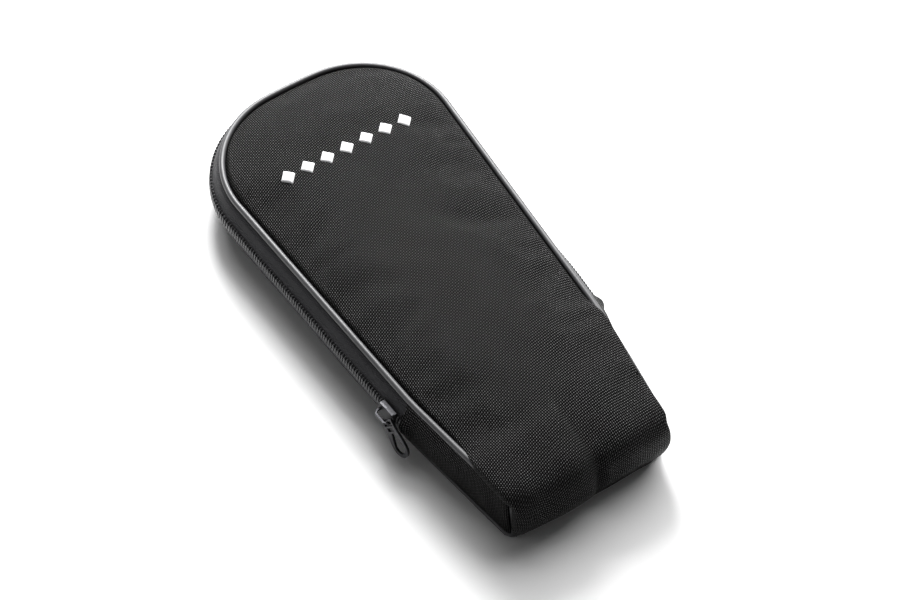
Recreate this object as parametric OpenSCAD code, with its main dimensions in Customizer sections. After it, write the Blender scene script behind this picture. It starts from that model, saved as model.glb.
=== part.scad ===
// Soft zipped carry case for an otoscope, lying on its back.
// The case is cut and sewn: two padded panels edged with piping, a side wall
// of zip tape round the crown, and cloth side walls at the narrow end.
// +Y runs to the round crown, +Z is up, and the origin is on the floor under
// the middle of the overall box.

/* [Outline] */
// Overall length, from the floor edge of the narrow end to the zip at the crown
total_l = 230; // [205:1:255]
// Greatest width between the two side seams
body_w = 101.6; // [94:0.2:110]
// Width between the side seams where the zip ends and the sides turn in
waist_w = 87.2; // [80:0.2:92]
// Width between the side seams at the narrow end
end_w = 71.2; // [62:0.2:78]
// Length of the cloth side walls, from the narrow end to the ends of the zip
gusset_l = 60; // [48:1:72]
// Radius of the two shoulders of the outline
shoulder_r = 41; // [34:0.5:46]
// Radius of the nearly straight crown between the shoulders
crown_r = 260; // [180:5:400]
// Radius that eases the outline where the sides turn in
knee_r = 150; // [90:5:200]
// Radius of the corners at the narrow end
end_r = 4; // [3:0.5:6]

/* [Thickness] */
// Height of the side wall between the two lines of piping
wall_h = 25.6; // [20:0.2:32]
// Rise of the padded front above its own edge
front_crown = 4.5; // [2:0.1:7]
// Share of that rise that is left at the narrow end
end_crown_share = 0.4; // [0.2:0.05:0.8]
// Swell of the side wall beyond the seams, at half its height
wall_swell = 4.3; // [2:0.1:6]
// Swell of the side wall at the narrow end
end_swell = 0.8; // [0.4:0.1:2]
// Radius with which the front cloth rolls over the narrow end
roll_r = 8; // [5:0.5:11]
// How far the narrow end leans back from the floor to its top edge
end_lean = 3; // [0:0.25:5]

/* [Cloth] */
// Thickness of the coated outer cloth
cloth_t = 1; // [0.6:0.1:1.4]
// Thickness of the foam inside the panels
foam_t = 3; // [2:0.1:4]
// Thickness of the lining
lining_t = 0.6; // [0.4:0.1:1]
// Thickness of the cloth side walls
gusset_t = 1.2; // [0.8:0.1:1.6]
// Diameter of the piping
pipe_d = 2.6; // [2:0.1:3.4]
// Width of the tape that binds the seams inside
binding_w = 5; // [3:0.5:7]
// Thickness of the tape that binds the seams inside
binding_t = 0.8; // [0.5:0.1:1]

/* [Zip] */
// Height of the zip above the middle of the side wall
zip_up = 1.6; // [0:0.1:3]
// Width of the two closed rows of coil
chain_w = 6; // [5:0.1:7]
// Gap between the two rows, where the slider's web runs
chain_gap = 1.2; // [1:0.1:1.6]
// Thickness of the coil where it stands on the tape
coil_t = 1.5; // [1.2:0.1:1.9]
// Thickness of the woven tape
tape_t = 0.8; // [0.5:0.1:1]
// Clearance between the end of the zip and the slider's lower end
slider_rest = 2.2; // [1:0.1:5]
// Distance from the slider's shoulders up to the fold of the lid
tape_tail = 3; // [2:0.5:6]

/* [Slider] */
// Length of the slider's body
slider_l = 10.6; // [9:0.2:13]
// Width of the body across its shoulders
slider_w = 8.8; // [8.6:0.1:10]
// Width of the body at its narrow mouth
mouth_w = 8; // [7.9:0.1:8.5]
// Thickness of the slider's plates
plate_t = 0.9; // [0.7:0.1:1.2]
// Thickness of the web between the plates
web_t = 0.7; // [0.5:0.05:0.8]
// Length of the web between the plates
web_l = 2.2; // [1.5:0.1:3]
// Length of the loop on the slider that holds the pull tab
bail_l = 8.4; // [7:0.2:10]
// Width of the strip that the loop is made of
bail_w = 1.1; // [1:0.1:1.5]
// Thickness of that strip
bail_t = 0.8; // [0.6:0.1:1]
// Clear height under the loop
bail_h = 2.5; // [2.3:0.1:2.8]

/* [Pull tab] */
// Length from the bar of the eye to the tip
tab_l = 17; // [14:0.5:20]
// Greatest width of the tab
tab_w = 9.4; // [8:0.2:11]
// Width of the tab's eye end
eye_w = 7.2; // [6.8:0.1:7.6]
// Thickness of the tab
tab_t = 1; // [0.8:0.1:1.2]
// Thickness of the bars round the openings
bar_w = 0.8; // [0.6:0.1:0.9]
// Height of the eye's opening
eye_h = 2.3; // [2.2:0.1:2.8]
// Height of the small window below the eye
window_h = 1.6; // [1:0.1:2]
// Angle by which the hanging tab droops below the zip
tab_droop = 42; // [38:1:46]
// Angle by which the tab is turned about its own length
tab_twist = -10; // [-12:1:0]
// Distance of the eye's bar outward from the middle of the loop's clear height
tab_ride = 0.2; // [0.1:0.05:0.2]

/* [Ornament] */
// Number of stitched lozenges in the row on the front
lozenges = 7; // [5:1:9]
// Distance between the lozenges
lozenge_pitch = 9.4; // [7:0.2:11]
// Width of a lozenge
lozenge_w = 7; // [5:0.2:8]
// Height of a lozenge
lozenge_h = 7.6; // [5:0.2:9]
// Thickness of the stitching
stitch_t = 0.5; // [0.3:0.1:0.8]
// Distance from the crown seam to the middle of the row
ornament_down = 46; // [40:1:60]

/* [Clearances] */
// Gap between plies that are laid on each other
ply_gap = 0.1; // [0.05:0.05:0.2]
// Gap between a seam's edge and the piping
seam_gap = 0.15; // [0.1:0.05:0.3]
// Gap across the fold between the lid and the pocket
fold_gap = 0.4; // [0.3:0.1:1]
// Running clearance of the slider on the coil and the tape
run_gap = 0.25; // [0.2:0.05:0.35]
// Height of the piping and of the hem above the floor
floor_gap = 0.3; // [0.1:0.1:0.5]

/* [Hidden] */

// Faceting of the swept and padded forms
shoulder_steps = 12;
corner_steps = 4;
knee_steps = 2;
crown_steps = 2;
side_steps = 4;
across_steps = 8;
pipe_sides = 8;
wall_steps = 8;
roll_steps = 6;
pocket_steps = 8;

// Heights of the seams and of the zip
pipe_r = pipe_d / 2;
back_seam_z = floor_gap + pipe_r;
front_seam_z = back_seam_z + wall_h;
mid_z = back_seam_z + wall_h / 2;
zip_z = mid_z + zip_up;

// Plan of the seam line
zip_out = wall_swell + ply_gap + coil_t;
crown_y = total_l / 2 - zip_out;
floor_end_y = -total_l / 2;
end_y = floor_end_y + pipe_r;
waist_y = floor_end_y + gusset_l;

// Edge of a panel inside the piping
panel_off = -pipe_r - seam_gap;

// The closed slider stands at the lower end of the zip, and the lid folds above it
zip_low_y = waist_y + fold_gap / 2;
slider_y = zip_low_y + slider_rest + slider_l / 2;
fold_y = slider_y + slider_l / 2 + run_gap + tape_tail;

// Angles where the arcs of the outline meet
crown_a = acos((body_w / 2 - shoulder_r) / (crown_r - shoulder_r));
shoulder_x = (crown_r - shoulder_r) * cos(crown_a);
shoulder_y = crown_y - crown_r + (crown_r - shoulder_r) * sin(crown_a);
knee_dx = waist_w / 2 - shoulder_x;
knee_dy = shoulder_y - waist_y;
side_a = atan2(knee_dy, knee_dx) - acos(shoulder_r / norm([knee_dx, knee_dy]));
end_a = atan2(waist_w / 2 - end_w / 2, waist_y - end_y);
knee_run = knee_r * tan((end_a - side_a) / 2);
end_run = end_r * tan((90 - end_a) / 2);

// Stations closer together than this count as one
least_step = 0.05;

// A station is a point of the seam line with its outward normal: x, y, nx, ny
function arc(cx, cy, r, a0, a1, n) = [for (i = [0:n])
    let (a = a0 + (a1 - a0) * i / n) [cx + r * cos(a), cy + r * sin(a), cos(a), sin(a)]];
function between(p, q, n) = [for (i = [1:n - 1]) p + (q - p) * i / n];

end_arc = arc(end_w / 2 - end_run, end_y + end_r, end_r, -90, -end_a, corner_steps);
knee_arc = arc(waist_w / 2 + knee_run * sin(side_a) - knee_r * cos(side_a),
    waist_y + knee_run * cos(side_a) + knee_r * sin(side_a), knee_r, -end_a, -side_a, knee_steps);
shoulder_arc = arc(shoulder_x, shoulder_y, shoulder_r, -side_a, crown_a, shoulder_steps);
crown_arc = arc(0, crown_y - crown_r, crown_r, crown_a, 90, crown_steps);

// The right half of the seam line, from the narrow end to the crown
seam = concat(end_arc, between(end_arc[corner_steps], knee_arc[0], side_steps), knee_arc,
    between(knee_arc[knee_steps], shoulder_arc[0], side_steps), shoulder_arc,
    [for (i = [1:crown_steps]) crown_arc[i]]);
function mirrored(s) = [-s[0], s[1], -s[2], s[3]];
function reversed(list) = [for (i = [len(list) - 1:-1:0]) list[i]];
function station(y) = [for (k = [0:3]) lookup(y, [for (s = seam) [s[1], s[k]]])];
function stretch(y0, y1) = concat([station(y0)],
    [for (s = seam) if (s[1] > y0 + least_step && s[1] < y1 - least_step) s], [station(y1)]);
function round_crown(right_y, left_y) = concat(stretch(right_y, crown_y),
    [for (s = reversed(stretch(left_y, crown_y))) if (s[0] > least_step) mirrored(s)]);
function half_width(y, off) = lookup(y, [for (s = seam) [s[1] + s[3] * off, s[0] + s[2] * off]]);
function plan(off) = concat([for (s = seam) [s[0] + s[2] * off, s[1] + s[3] * off]],
    [for (s = reversed(seam)) if (s[0] > least_step) [-s[0] - s[2] * off, s[1] + s[3] * off]]);

// The narrow end leans back above the back panel; the lean dies out along the sides
lean_reach = 30;
function lean(y, z) = end_lean * max(0, z - stack_t) / (front_seam_z - stack_t)
    * max(0, 1 - (y - end_y) / lean_reach);

// Side wall: how far it swells out of the seam line at a height
function swell(y) = y > waist_y ? wall_swell
    : end_swell + (wall_swell - end_swell) * max(0, (y - end_y) / (waist_y - end_y));
function wall_off(y, z) = swell(y) * (1 - pow((z - mid_z) / (wall_h / 2), 2));
function on_wall(s, off, z) = [s[0] + s[2] * off, s[1] + s[3] * off + lean(s[1], z), z];

// The front rolls over the narrow end, so the side wall ends lower there
function roll_drop(y) = let (q = min(roll_r, max(0, y - end_y)))
    roll_r - sqrt(roll_r * roll_r - (roll_r - q) * (roll_r - q));

wall_lo_z = back_seam_z + pipe_r + seam_gap;
wall_hi_z = front_seam_z - pipe_r - seam_gap;
function wall_strip(s, z0, z1, depth, t) = let (
    zs = [for (i = [0:wall_steps]) z0 + (z1 - z0) * i / wall_steps],
    out = [for (z = zs) on_wall(s, wall_off(s[1], z) - depth, z)],
    inn = [for (z = reversed(zs)) on_wall(s, wall_off(s[1], z) - depth - t, z)])
    concat(out, inn);

// Front surface: height at a place across (-1 to 1) and along the case
edge_rise = 0.3;
crown_power = 2.6;
crown_run = 60;
function rise_at(y) = front_crown * (y > crown_y - crown_run
    ? 1 - pow(min(1, (y - crown_y + crown_run) / crown_run), 3)
    : y > waist_y ? 1
    : end_crown_share + (1 - end_crown_share) * (y - floor_end_y) / (waist_y - floor_end_y));
function front_z(u, y) = front_seam_z + edge_rise + rise_at(y) * (1 - pow(abs(u), crown_power));

// Depths of the three plies below the outer surface
foam_depth = cloth_t + ply_gap;
lining_depth = foam_depth + foam_t + ply_gap;
stack_t = lining_depth + lining_t;

// Triangles that close a ring of m points, as a strip between its two sides
function cap(m) = [for (j = [0:m / 2 - 2]) each [[j, j + 1, m - 2 - j], [j, m - 2 - j, m - 1 - j]]];

// Joins rings of points into a closed solid
module loft(rings) {
    m = len(rings[0]);
    n = len(rings);
    polyhedron(points = [for (r = rings) each r], faces = concat(
        [for (t = cap(m)) [t[2], t[1], t[0]]],
        [for (t = cap(m)) [for (k = t) (n - 1) * m + k]],
        [for (i = [0:n - 2], j = [0:m - 1]) let (k = (j + 1) % m)
            each [[i * m + j, i * m + k, (i + 1) * m + k], [i * m + j, (i + 1) * m + k, (i + 1) * m + j]]]));
}

// A ring across the front from its outer surface down to a depth
function across(y, w, hi, lo) = concat(
    [for (j = [0:across_steps]) let (u = 1 - 2 * j / across_steps) [w * u, y, front_z(u, y) - hi]],
    [for (j = [0:across_steps]) let (u = -1 + 2 * j / across_steps) [w * u, y, front_z(u, y) - lo]]);

// One ply of the lid, between two depths
crown_flat = 0.3;
least_row = 0.2;
module lid_ply(hi, lo) {
    y0 = fold_y + fold_gap / 2;
    y1 = crown_y + panel_off - crown_flat;
    rows = concat([y0], [for (s = seam) let (y = s[1] + s[3] * panel_off)
        if (y > y0 + least_row && y < y1 - least_row) y], [y1]);
    loft([for (y = rows) across(y, half_width(y, panel_off), hi, lo)]);
}

// Rows over the pocket: y, z, then the normal's y and z, from the fold to the floor
roll_y = floor_end_y + end_lean + roll_r;
function pocket_rows(foot_z) = let (y0 = fold_y - fold_gap / 2) concat(
    [[y0, 0, 0, 1]],
    [for (i = [0:pocket_steps - 1]) [waist_y + (roll_y - waist_y) * i / pocket_steps, 0, 0, 1]],
    [for (i = [0:roll_steps]) let (a = 90 * i / roll_steps)
        [roll_y - roll_r * sin(a), -roll_r * (1 - cos(a)), -sin(a), cos(a)]],
    [[floor_end_y + end_lean * (foot_z - floor_gap) / (front_seam_z + edge_rise - roll_r - floor_gap),
        foot_z - front_z(1, floor_end_y), -1, 0]]);

// A row of points over the pocket at a depth below the outer surface
function pocket_row(r, depth) = let (
    y = r[0] - r[2] * depth,
    edge_z = front_z(1, r[0]),
    w = half_width(r[0] - lean(r[0], front_seam_z + r[1]), panel_off))
    [for (j = [0:across_steps]) let (u = 1 - 2 * j / across_steps)
        [w * u, y, edge_z + r[1] + r[3] * (front_z(u, r[0]) - edge_z - depth)]];

module pocket_ply(hi, lo, foot_z) {
    loft([for (r = reversed(pocket_rows(foot_z))) concat(pocket_row(r, hi), reversed(pocket_row(r, lo)))]);
}

// Piping: a round cord carried along the seam line. Its rings tilt where it
// runs down the corner of the narrow end
function pipe_ring(s, z, tilt = 0) = [for (i = [0:pipe_sides - 1])
    let (a = 360 * (i + 0.5) / pipe_sides, r = pipe_r / cos(180 / pipe_sides))
    on_wall(s, -r * cos(a), z) + r * sin(a) * [s[3] * sin(tilt), -s[2] * sin(tilt), cos(tilt)]];
function roll_tilt(y) = asin(1 - min(roll_r, max(0, y - end_y)) / roll_r);
function front_rings(stations) = [for (s = stations)
    pipe_ring(s, front_seam_z - roll_drop(s[1]), roll_tilt(s[1]))];

// A strip of side wall along the seam line, between two heights. Under the
// sloping piping its top edge keeps the same distance from the cord
function slope_drop(y) = (pipe_r + seam_gap) * (1 / cos(roll_tilt(y)) - 1);
module wall_ply(stations, z0, z1, depth, t) {
    loft([for (s = stations) wall_strip(s, z0, z1 - roll_drop(s[1]) - slope_drop(s[1]), depth, t)]);
}

// One row of coil on the tape
coil_w = (chain_w - chain_gap) / 2;
coil_bevel = 0.4;
function coil_ring(s, z0) = let (z1 = z0 + coil_w, y = s[1]) [
    on_wall(s, wall_off(y, z0) + ply_gap, z0),
    on_wall(s, wall_off(y, z0) + ply_gap + coil_t - coil_bevel, z0),
    on_wall(s, wall_off(y, z0 + coil_bevel) + ply_gap + coil_t, z0 + coil_bevel),
    on_wall(s, wall_off(y, z1 - coil_bevel) + ply_gap + coil_t, z1 - coil_bevel),
    on_wall(s, wall_off(y, z1) + ply_gap + coil_t - coil_bevel, z1),
    on_wall(s, wall_off(y, z1) + ply_gap, z1)];
module coil(stations, z0) {
    loft([for (s = stations) reversed(coil_ring(s, z0))]);
}

// A flat binding tape inside a seam, behind the side wall and beside the lining
binding_lo_z = stack_t + seam_gap;
binding_hi_z = front_seam_z + edge_rise - stack_t - seam_gap - binding_w;
module binding(stations, z0) {
    loft([for (s = stations) let (o = -gusset_t - ply_gap - binding_t, z1 = z0 + binding_w)
        [on_wall(s, o, z0), on_wall(s, o + binding_t, z0), on_wall(s, o + binding_t, z1), on_wall(s, o, z1)]]);
}

// Runs of stations that several pieces share
stand_a = 65;
stand_y = end_y + end_r * (1 - sin(stand_a));
corner_y = end_y + ply_gap;
gusset_y = end_y + pipe_r + seam_gap;
rim = round_crown(zip_low_y, zip_low_y);
lid_rim = round_crown(fold_y + fold_gap / 2, fold_y + fold_gap / 2);
whole_rim = round_crown(corner_y, corner_y);
side_run = stretch(gusset_y, waist_y - fold_gap / 2);
piping_run = stretch(stand_y, fold_y - fold_gap / 2);
back_binding_rim = round_crown(end_y + end_r, end_y + end_r);
binding_run = stretch(end_y + roll_r, fold_y - fold_gap / 2);
zip_end_run = stretch(zip_low_y, fold_y - fold_gap / 2);
upper_coil_z = zip_z + chain_gap / 2;
lower_coil_z = zip_z - chain_gap / 2 - coil_w;

charcoal = [0.11, 0.11, 0.12];
tape_grey = [0.16, 0.16, 0.18];
vinyl = [0.3, 0.3, 0.31];
foam_grey = [0.45, 0.45, 0.47];
lining_grey = [0.22, 0.22, 0.24];
metal = [0.35, 0.35, 0.37];

module back_panel() {
    color(charcoal) linear_extrude(cloth_t) polygon(plan(panel_off));
}

module back_padding() {
    color(foam_grey) translate([0, 0, foam_depth]) linear_extrude(foam_t) polygon(plan(panel_off));
}

module back_lining() {
    color(lining_grey) translate([0, 0, lining_depth]) linear_extrude(lining_t) polygon(plan(panel_off));
}

module back_piping() {
    color(vinyl) loft([for (s = whole_rim) pipe_ring(s, back_seam_z)]);
}

module pocket_panel() {
    color(charcoal) pocket_ply(0, cloth_t, floor_gap);
}

inner_foot_z = lining_depth + lining_t + floor_gap;
module pocket_padding() {
    color(foam_grey) pocket_ply(foam_depth, foam_depth + foam_t, inner_foot_z);
}

module pocket_lining() {
    color(lining_grey) pocket_ply(lining_depth, stack_t, inner_foot_z);
}

// The front piping below the fold, which stands on the back piping at its foot
module right_pocket_piping() {
    loft(concat([for (z = [wall_lo_z, front_seam_z - roll_r]) pipe_ring(piping_run[0], z, 90)],
        front_rings(piping_run)));
}

module pocket_piping() {
    color(vinyl) {
        right_pocket_piping();
        mirror([1, 0, 0]) right_pocket_piping();
    }
}

module right_gusset() {
    color(charcoal) wall_ply(side_run, wall_lo_z, wall_hi_z, 0, gusset_t);
}

module left_gusset() {
    mirror([1, 0, 0]) right_gusset();
}

module right_gusset_lining() {
    color(lining_grey) wall_ply(side_run, binding_lo_z + binding_w + seam_gap,
        binding_hi_z - seam_gap, gusset_t + ply_gap, lining_t);
}

module left_gusset_lining() {
    mirror([1, 0, 0]) right_gusset_lining();
}

module back_zip_tape() {
    color(tape_grey) wall_ply(rim, wall_lo_z, zip_z - chain_gap / 2, 0, tape_t);
}

module back_zip_coil() {
    color(charcoal) coil(rim, lower_coil_z);
}

module right_tape_end() {
    color(tape_grey) wall_ply(zip_end_run, zip_z + chain_gap / 2, wall_hi_z, 0, tape_t);
}

module left_tape_end() {
    mirror([1, 0, 0]) right_tape_end();
}

module right_coil_end() {
    color(charcoal) coil(zip_end_run, upper_coil_z);
}

module left_coil_end() {
    mirror([1, 0, 0]) right_coil_end();
}

module back_seam_binding() {
    color(tape_grey) binding(back_binding_rim, binding_lo_z);
}

module pocket_seam_binding() {
    color(tape_grey) {
        binding(binding_run, binding_hi_z);
        mirror([1, 0, 0]) binding(binding_run, binding_hi_z);
    }
}

module lid_panel() {
    color(charcoal) lid_ply(0, cloth_t);
}

module lid_padding() {
    color(foam_grey) lid_ply(foam_depth, foam_depth + foam_t);
}

module lid_lining() {
    color(lining_grey) lid_ply(lining_depth, stack_t);
}

module lid_piping() {
    color(vinyl) loft(front_rings(lid_rim));
}

module front_zip_tape() {
    color(tape_grey) wall_ply(lid_rim, zip_z + chain_gap / 2, wall_hi_z, 0, tape_t);
}

module front_zip_coil() {
    color(charcoal) coil(lid_rim, upper_coil_z);
}

module lid_seam_binding() {
    color(tape_grey) binding(lid_rim, binding_hi_z);
}

// Satin-stitched lozenges that follow the padded front
ornament_y = crown_y - ornament_down;
function on_front(x, y, lift) = [x, y, front_z(x / half_width(y, panel_off), y) + lift];
module lozenge(x) {
    corners = [[x + lozenge_w / 2, ornament_y], [x, ornament_y + lozenge_h / 2],
        [x - lozenge_w / 2, ornament_y], [x, ornament_y - lozenge_h / 2]];
    loft([[for (c = corners) on_front(c[0], c[1], ply_gap)],
        [for (c = corners) on_front(c[0], c[1], ply_gap + stitch_t)]]);
}

module embroidery() {
    color("white") for (i = [0:lozenges - 1]) lozenge((i - (lozenges - 1) / 2) * lozenge_pitch);
}

// The slider's frame: x outward from the tape, y down towards the narrow end, z up
slider_s = station(slider_y);
slider_off = wall_off(slider_y, zip_z);
module at_slider() {
    translate([-slider_s[0] - slider_s[2] * slider_off, slider_s[1] + slider_s[3] * slider_off, zip_z])
        rotate([0, 0, 180 + side_a]) children();
}

upper_x = ply_gap + coil_t + run_gap;
wall_fall = slider_off - wall_off(slider_y, zip_z + slider_w / 2);
lower_x = -tape_t - wall_fall - run_gap - plate_t;
flange_t = 0.7;
flange_foot_x = 0.45;
plate_bevel = 1.2;

// Outline of the slider's plates: narrow mouth, wide shoulders
module slider_plan() {
    l = slider_l / 2;
    w = slider_w / 2;
    m = mouth_w / 2;
    polygon([[-l, -m + plate_bevel], [-l + plate_bevel, -m], [0, -w], [l - plate_bevel, -w],
        [l, -w + plate_bevel], [l, w - plate_bevel], [l - plate_bevel, w], [0, w],
        [-l + plate_bevel, m], [-l, m - plate_bevel]]);
}

// Lays a plan drawn along y and z on a plane of constant x
module upright(x) {
    translate([x, 0, 0]) rotate([90, 0, 90]) children();
}

module slider_body() {
    color(metal) at_slider() {
        upright(upper_x) linear_extrude(plate_t) slider_plan();
        upright(lower_x) linear_extrude(plate_t) slider_plan();
        translate([lower_x + plate_t / 2, slider_l / 2 - plate_bevel - web_l, -web_t / 2])
            cube([upper_x - lower_x, web_l, web_t]);
        for (side = [-1, 1]) translate([flange_foot_x,
            -slider_l / 2 + plate_bevel, side * (chain_w / 2 + run_gap + flange_t / 2) - flange_t / 2])
            cube([upper_x - flange_foot_x + plate_t / 2, slider_l - 2 * plate_bevel, flange_t]);
    }
}

// The loop that holds the tab, standing on the upper plate
bail_x = upper_x + plate_t;
bail_round = 0.8;
module bail_profile(l, h, r) {
    polygon([[0, -l / 2], [h - r, -l / 2], [h, -l / 2 + r], [h, l / 2 - r], [h - r, l / 2], [0, l / 2]]);
}

module slider_bail() {
    color(metal) at_slider() translate([bail_x, 0, -bail_w / 2]) linear_extrude(bail_w) difference() {
        bail_profile(bail_l, bail_h + bail_t, bail_round + bail_t);
        translate([-bail_t, 0, 0]) bail_profile(bail_l - 2 * bail_t, bail_h + bail_t, bail_round);
    }
}

// The tab's frame: origin at the eye's bar, y along the tab, z across it
leg_y = bail_l / 2 - bail_t / 2;
tab_x = bail_x + bail_h / 2 + tab_ride;
leg_reach = bar_w / 2 + eye_h / 2;
tab_pos = [tab_x, leg_y - leg_reach * cos(tab_droop), leg_reach * sin(tab_droop)];
eye_slot_w = eye_w - 2 * bar_w;
ring_r = tab_w / 2;
window_w = eye_slot_w - 2 * bar_w;
neck_y = bar_w / 2 + eye_h + bar_w;
ring_top_y = neck_y + window_h + bar_w;
ring_end_y = tab_l - ring_r;

opening_r = ring_r - 2 * bar_w;
ring_steps = 24;
function half_round(r) = [for (i = [0:ring_steps])
    let (a = 180 * i / ring_steps - 90) [ring_end_y + r * cos(a), r * sin(a)]];
module tab_plan() {
    difference() {
        polygon(concat([[-bar_w / 2, eye_w / 2], [-bar_w / 2, -eye_w / 2], [neck_y, -eye_w / 2],
            [ring_end_y - ring_r / 2, -ring_r]], half_round(ring_r),
            [[ring_end_y - ring_r / 2, ring_r], [neck_y, eye_w / 2]]));
        translate([bar_w / 2, -eye_slot_w / 2]) square([eye_h, eye_slot_w]);
        translate([neck_y, -window_w / 2]) square([window_h, window_w]);
        polygon(concat([[ring_top_y, bar_w], [ring_top_y, -bar_w]], half_round(opening_r)));
    }
}

module pull_tab() {
    color(metal) at_slider() translate(tab_pos) rotate([-tab_droop, 0, 0]) rotate([0, tab_twist, 0])
        upright(-tab_t / 2) linear_extrude(tab_t) tab_plan();
}

back_panel();
back_padding();
back_lining();
back_piping();
pocket_panel();
pocket_padding();
pocket_lining();
pocket_piping();
left_gusset();
right_gusset();
left_gusset_lining();
right_gusset_lining();
back_zip_tape();
back_zip_coil();
left_tape_end();
right_tape_end();
left_coil_end();
right_coil_end();
back_seam_binding();
pocket_seam_binding();
lid_panel();
lid_padding();
lid_lining();
lid_piping();
front_zip_tape();
front_zip_coil();
lid_seam_binding();
embroidery();
slider_body();
slider_bail();
pull_tab();
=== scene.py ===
import math

import bpy
import numpy as np
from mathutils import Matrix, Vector


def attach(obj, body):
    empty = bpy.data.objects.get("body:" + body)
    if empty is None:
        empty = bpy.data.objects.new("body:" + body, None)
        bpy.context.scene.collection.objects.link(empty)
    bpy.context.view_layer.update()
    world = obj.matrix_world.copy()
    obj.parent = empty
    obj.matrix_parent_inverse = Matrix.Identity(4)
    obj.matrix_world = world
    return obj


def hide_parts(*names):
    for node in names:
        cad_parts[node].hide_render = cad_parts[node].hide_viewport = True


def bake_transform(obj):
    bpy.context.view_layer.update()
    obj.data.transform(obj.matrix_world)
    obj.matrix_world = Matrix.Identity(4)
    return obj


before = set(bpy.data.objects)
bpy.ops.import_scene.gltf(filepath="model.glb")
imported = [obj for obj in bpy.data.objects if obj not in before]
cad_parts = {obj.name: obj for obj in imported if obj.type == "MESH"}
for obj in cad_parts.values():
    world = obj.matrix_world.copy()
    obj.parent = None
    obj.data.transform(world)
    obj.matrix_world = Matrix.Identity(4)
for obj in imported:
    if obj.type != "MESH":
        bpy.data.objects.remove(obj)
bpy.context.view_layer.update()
MM = 0.001

# Back panel
# A flat panel of coated ballistic nylon, cut to the seam line less the piping. The case lies on
# it, and its edge turns up a little where it is sewn to the piping and the side wall.
total_l, body_w, waist_w, end_w, gusset_l = 230.0, 101.6, 87.2, 71.2, 60.0
shoulder_r, crown_r, knee_r, end_r = 41.0, 260.0, 150.0, 4.0
cloth_t, ply_gap, wall_swell, coil_t = 1.0, 0.1, 4.3, 1.5
pipe_r, seam_gap = 1.3, 0.15
crown_y = total_l / 2 - wall_swell - ply_gap - coil_t
floor_y = -total_l / 2
end_y = floor_y + pipe_r
waist_y = floor_y + gusset_l
edge_in = pipe_r + seam_gap


def arc_stations(cx, cy, r, a0, a1):
    """Stations on a circular arc: points of the circle, and their directions from its centre."""
    a = np.linspace(a0, a1, 33)
    return np.stack([cx + r * np.cos(a), cy + r * np.sin(a), np.cos(a), np.sin(a)], 1)


def seam_line():
    """Right half of the seam line from the narrow end to the crown, as x, y and outward normal.
    Four arcs, for corner, knee, shoulder and crown, are joined by their common tangents."""
    crown_a = math.acos((body_w / 2 - shoulder_r) / (crown_r - shoulder_r))
    sx = (crown_r - shoulder_r) * math.cos(crown_a)
    sy = crown_y - crown_r + (crown_r - shoulder_r) * math.sin(crown_a)
    dx, dy = waist_w / 2 - sx, sy - waist_y
    side_a = math.atan2(dy, dx) - math.acos(shoulder_r / math.hypot(dx, dy))
    end_a = math.atan2(waist_w / 2 - end_w / 2, waist_y - end_y)
    knee_run = knee_r * math.tan((end_a - side_a) / 2)
    end_run = end_r * math.tan((math.pi / 2 - end_a) / 2)
    knee_x = waist_w / 2 + knee_run * math.sin(side_a) - knee_r * math.cos(side_a)
    knee_y = waist_y + knee_run * math.cos(side_a) + knee_r * math.sin(side_a)
    return np.vstack([
        arc_stations(end_w / 2 - end_run, end_y + end_r, end_r, -math.pi / 2, -end_a),
        arc_stations(knee_x, knee_y, knee_r, -end_a, -side_a),
        arc_stations(sx, sy, shoulder_r, -side_a, crown_a),
        arc_stations(0, crown_y - crown_r, crown_r, crown_a, math.pi / 2)])


seam = seam_line()


def spaced(rows, step):
    """The same polyline with its points at an even spacing of about step; the first two columns
    are the point, and the others are carried along by linear interpolation."""
    gap = np.hypot(*np.diff(rows[:, :2], axis=0).T)
    rows = rows[np.concatenate([[True], gap > 1e-6])]
    run = np.concatenate([[0], np.cumsum(gap[gap > 1e-6])])
    at = np.linspace(0, run[-1], max(3, round(run[-1] / step) + 1))
    return np.stack([np.interp(at, run, column) for column in rows.T], 1)


corner_turn, corner_drop = math.radians(45), 1.0
corner_y = crown_y - shoulder_r + shoulder_r * math.sin(corner_turn) - corner_drop


def patch(outline, across, along):
    """Grid of flat points inside a symmetric outline, given as its right half from foot to
    crown. The outline is split at its shoulder into two sides, a foot and a crown, and the
    inside is the Coons patch of those four curves, at the given shares across and along."""
    run = np.concatenate([[0], np.cumsum(np.hypot(*np.diff(outline, axis=0).T))])
    corner = np.interp(corner_y, outline[:, 1], run)
    v, u = along[:, None, None], across[None, :, None]
    right = np.stack([np.interp(along * corner, run, c) for c in outline.T], 1)
    crown_at = run[-1] - np.abs(2 * across - 1) * (run[-1] - corner)
    crown = np.stack([np.interp(crown_at, run, c) for c in outline.T], 1)
    crown[:, 0] *= np.sign(across - 0.5)
    foot = np.stack([outline[0, 0] * (2 * across - 1), np.full(len(across), outline[0, 1])], 1)
    left = right * [-1, 1]
    corners = ((1 - u) * (1 - v) * foot[0] + u * (1 - v) * foot[-1]
               + (1 - u) * v * crown[0] + u * v * crown[-1])
    return (1 - u) * left[:, None] + u * right[:, None] + (1 - v) * foot + v * crown - corners


def clustered(n, edges, length):
    """Shares from 0 to 1: close together near both ends, at the given distances from them, and
    evenly spaced between."""
    near = np.array(edges) / length
    middle = np.linspace(near[-1], 1 - near[-1], n)
    return np.concatenate([near[:-1], middle, (1 - near[:-1])[::-1]])


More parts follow.
